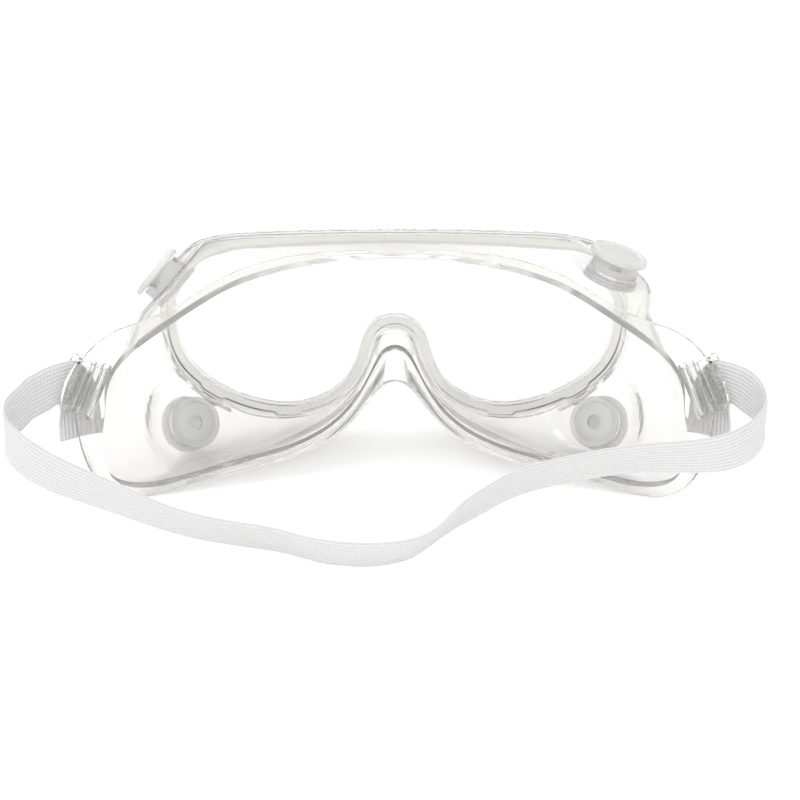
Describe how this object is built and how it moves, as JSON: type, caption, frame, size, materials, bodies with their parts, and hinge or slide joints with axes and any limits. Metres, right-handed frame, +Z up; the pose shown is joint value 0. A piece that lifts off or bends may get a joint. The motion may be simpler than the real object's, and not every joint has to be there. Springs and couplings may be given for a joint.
{
  "type": "safety goggles",
  "caption": "Indirect-vent splash goggles: soft clear hood with a face flange, bent clear lens, capped vents, swivelling strap clips and a woven elastic headband",
  "frame": {"origin": "on the table, straight below the middle of the whole object, headband included", "axes": "+X runs across the face, +Y points forwards out of the lens, +Z is up; the goggles stand on the table with the headband trailing behind"},
  "size_m": [0.2091, 0.1076, 0.0684],
  "materials": {
    "clear_soft_pvc": "clear flexible PVC with a soft gloss and a faint warm tint at its edges",
    "clear_lens": "clear polished polycarbonate sheet",
    "vent_plastic": "milky translucent moulded polyethylene",
    "clear_clip": "clear glossy moulded plastic",
    "woven_elastic": "woven elastic webbing with lengthwise ribs"
  },
  "bodies": {
    "goggles": {"frame_body": "clear_soft_pvc", "headband": "woven_elastic", "lens": "clear_lens", "vent_body_lower_left": "vent_plastic", "vent_body_lower_right": "vent_plastic", "vent_body_upper_left": "vent_plastic", "vent_body_upper_right": "vent_plastic", "vent_cap_lower_left": "vent_plastic", "vent_cap_lower_right": "vent_plastic", "vent_cap_upper_left": "vent_plastic", "vent_cap_upper_right": "vent_plastic"},
    "left_clip": {"strap_clip_left": "clear_clip"},
    "right_clip": {"strap_clip_right": "clear_clip"}
  },
  "joints": [
    {"name": "left_clip_swivel", "type": "hinge", "parent": "goggles", "child": "left_clip", "pos_m": [-0.0832, -0.0065, 0.0361], "axis": [0.3825, 0.2298, 0.8949], "range_deg": [-20, 45], "deforming": ["headband"]},
    {"name": "right_clip_swivel", "type": "hinge", "parent": "goggles", "child": "right_clip", "pos_m": [0.0877, -0.0065, 0.0361], "axis": [0.3825, -0.2298, -0.8949], "range_deg": [-20, 45], "deforming": ["headband"]}
  ]
}
